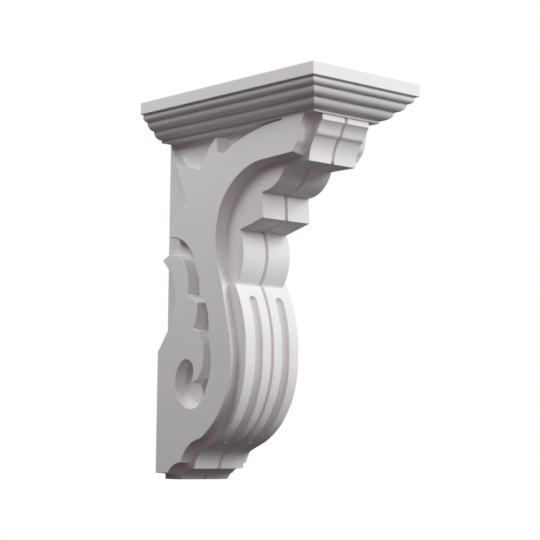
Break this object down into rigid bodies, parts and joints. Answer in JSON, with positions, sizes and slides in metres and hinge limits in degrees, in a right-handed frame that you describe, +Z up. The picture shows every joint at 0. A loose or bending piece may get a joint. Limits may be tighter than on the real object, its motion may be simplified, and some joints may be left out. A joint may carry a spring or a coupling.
{
  "type": "ornate corbel",
  "caption": "White primed moulded corbel with a mitred cap, a stepped and fluted centre, and a scrolled leaf plate on each side.",
  "frame": {"origin": "middle of the flat back, on the wall plane, half way up the corbel", "axes": "+Y into the wall, so the corbel reaches towards -Y; +Z up; +X across the front"},
  "size_m": [0.1686, 0.305, 0.4544],
  "materials": {
    "primed_white": "matt factory primer"
  },
  "bodies": {
    "root": {"corbel": "primed_white"}
  },
  "joints": []
}
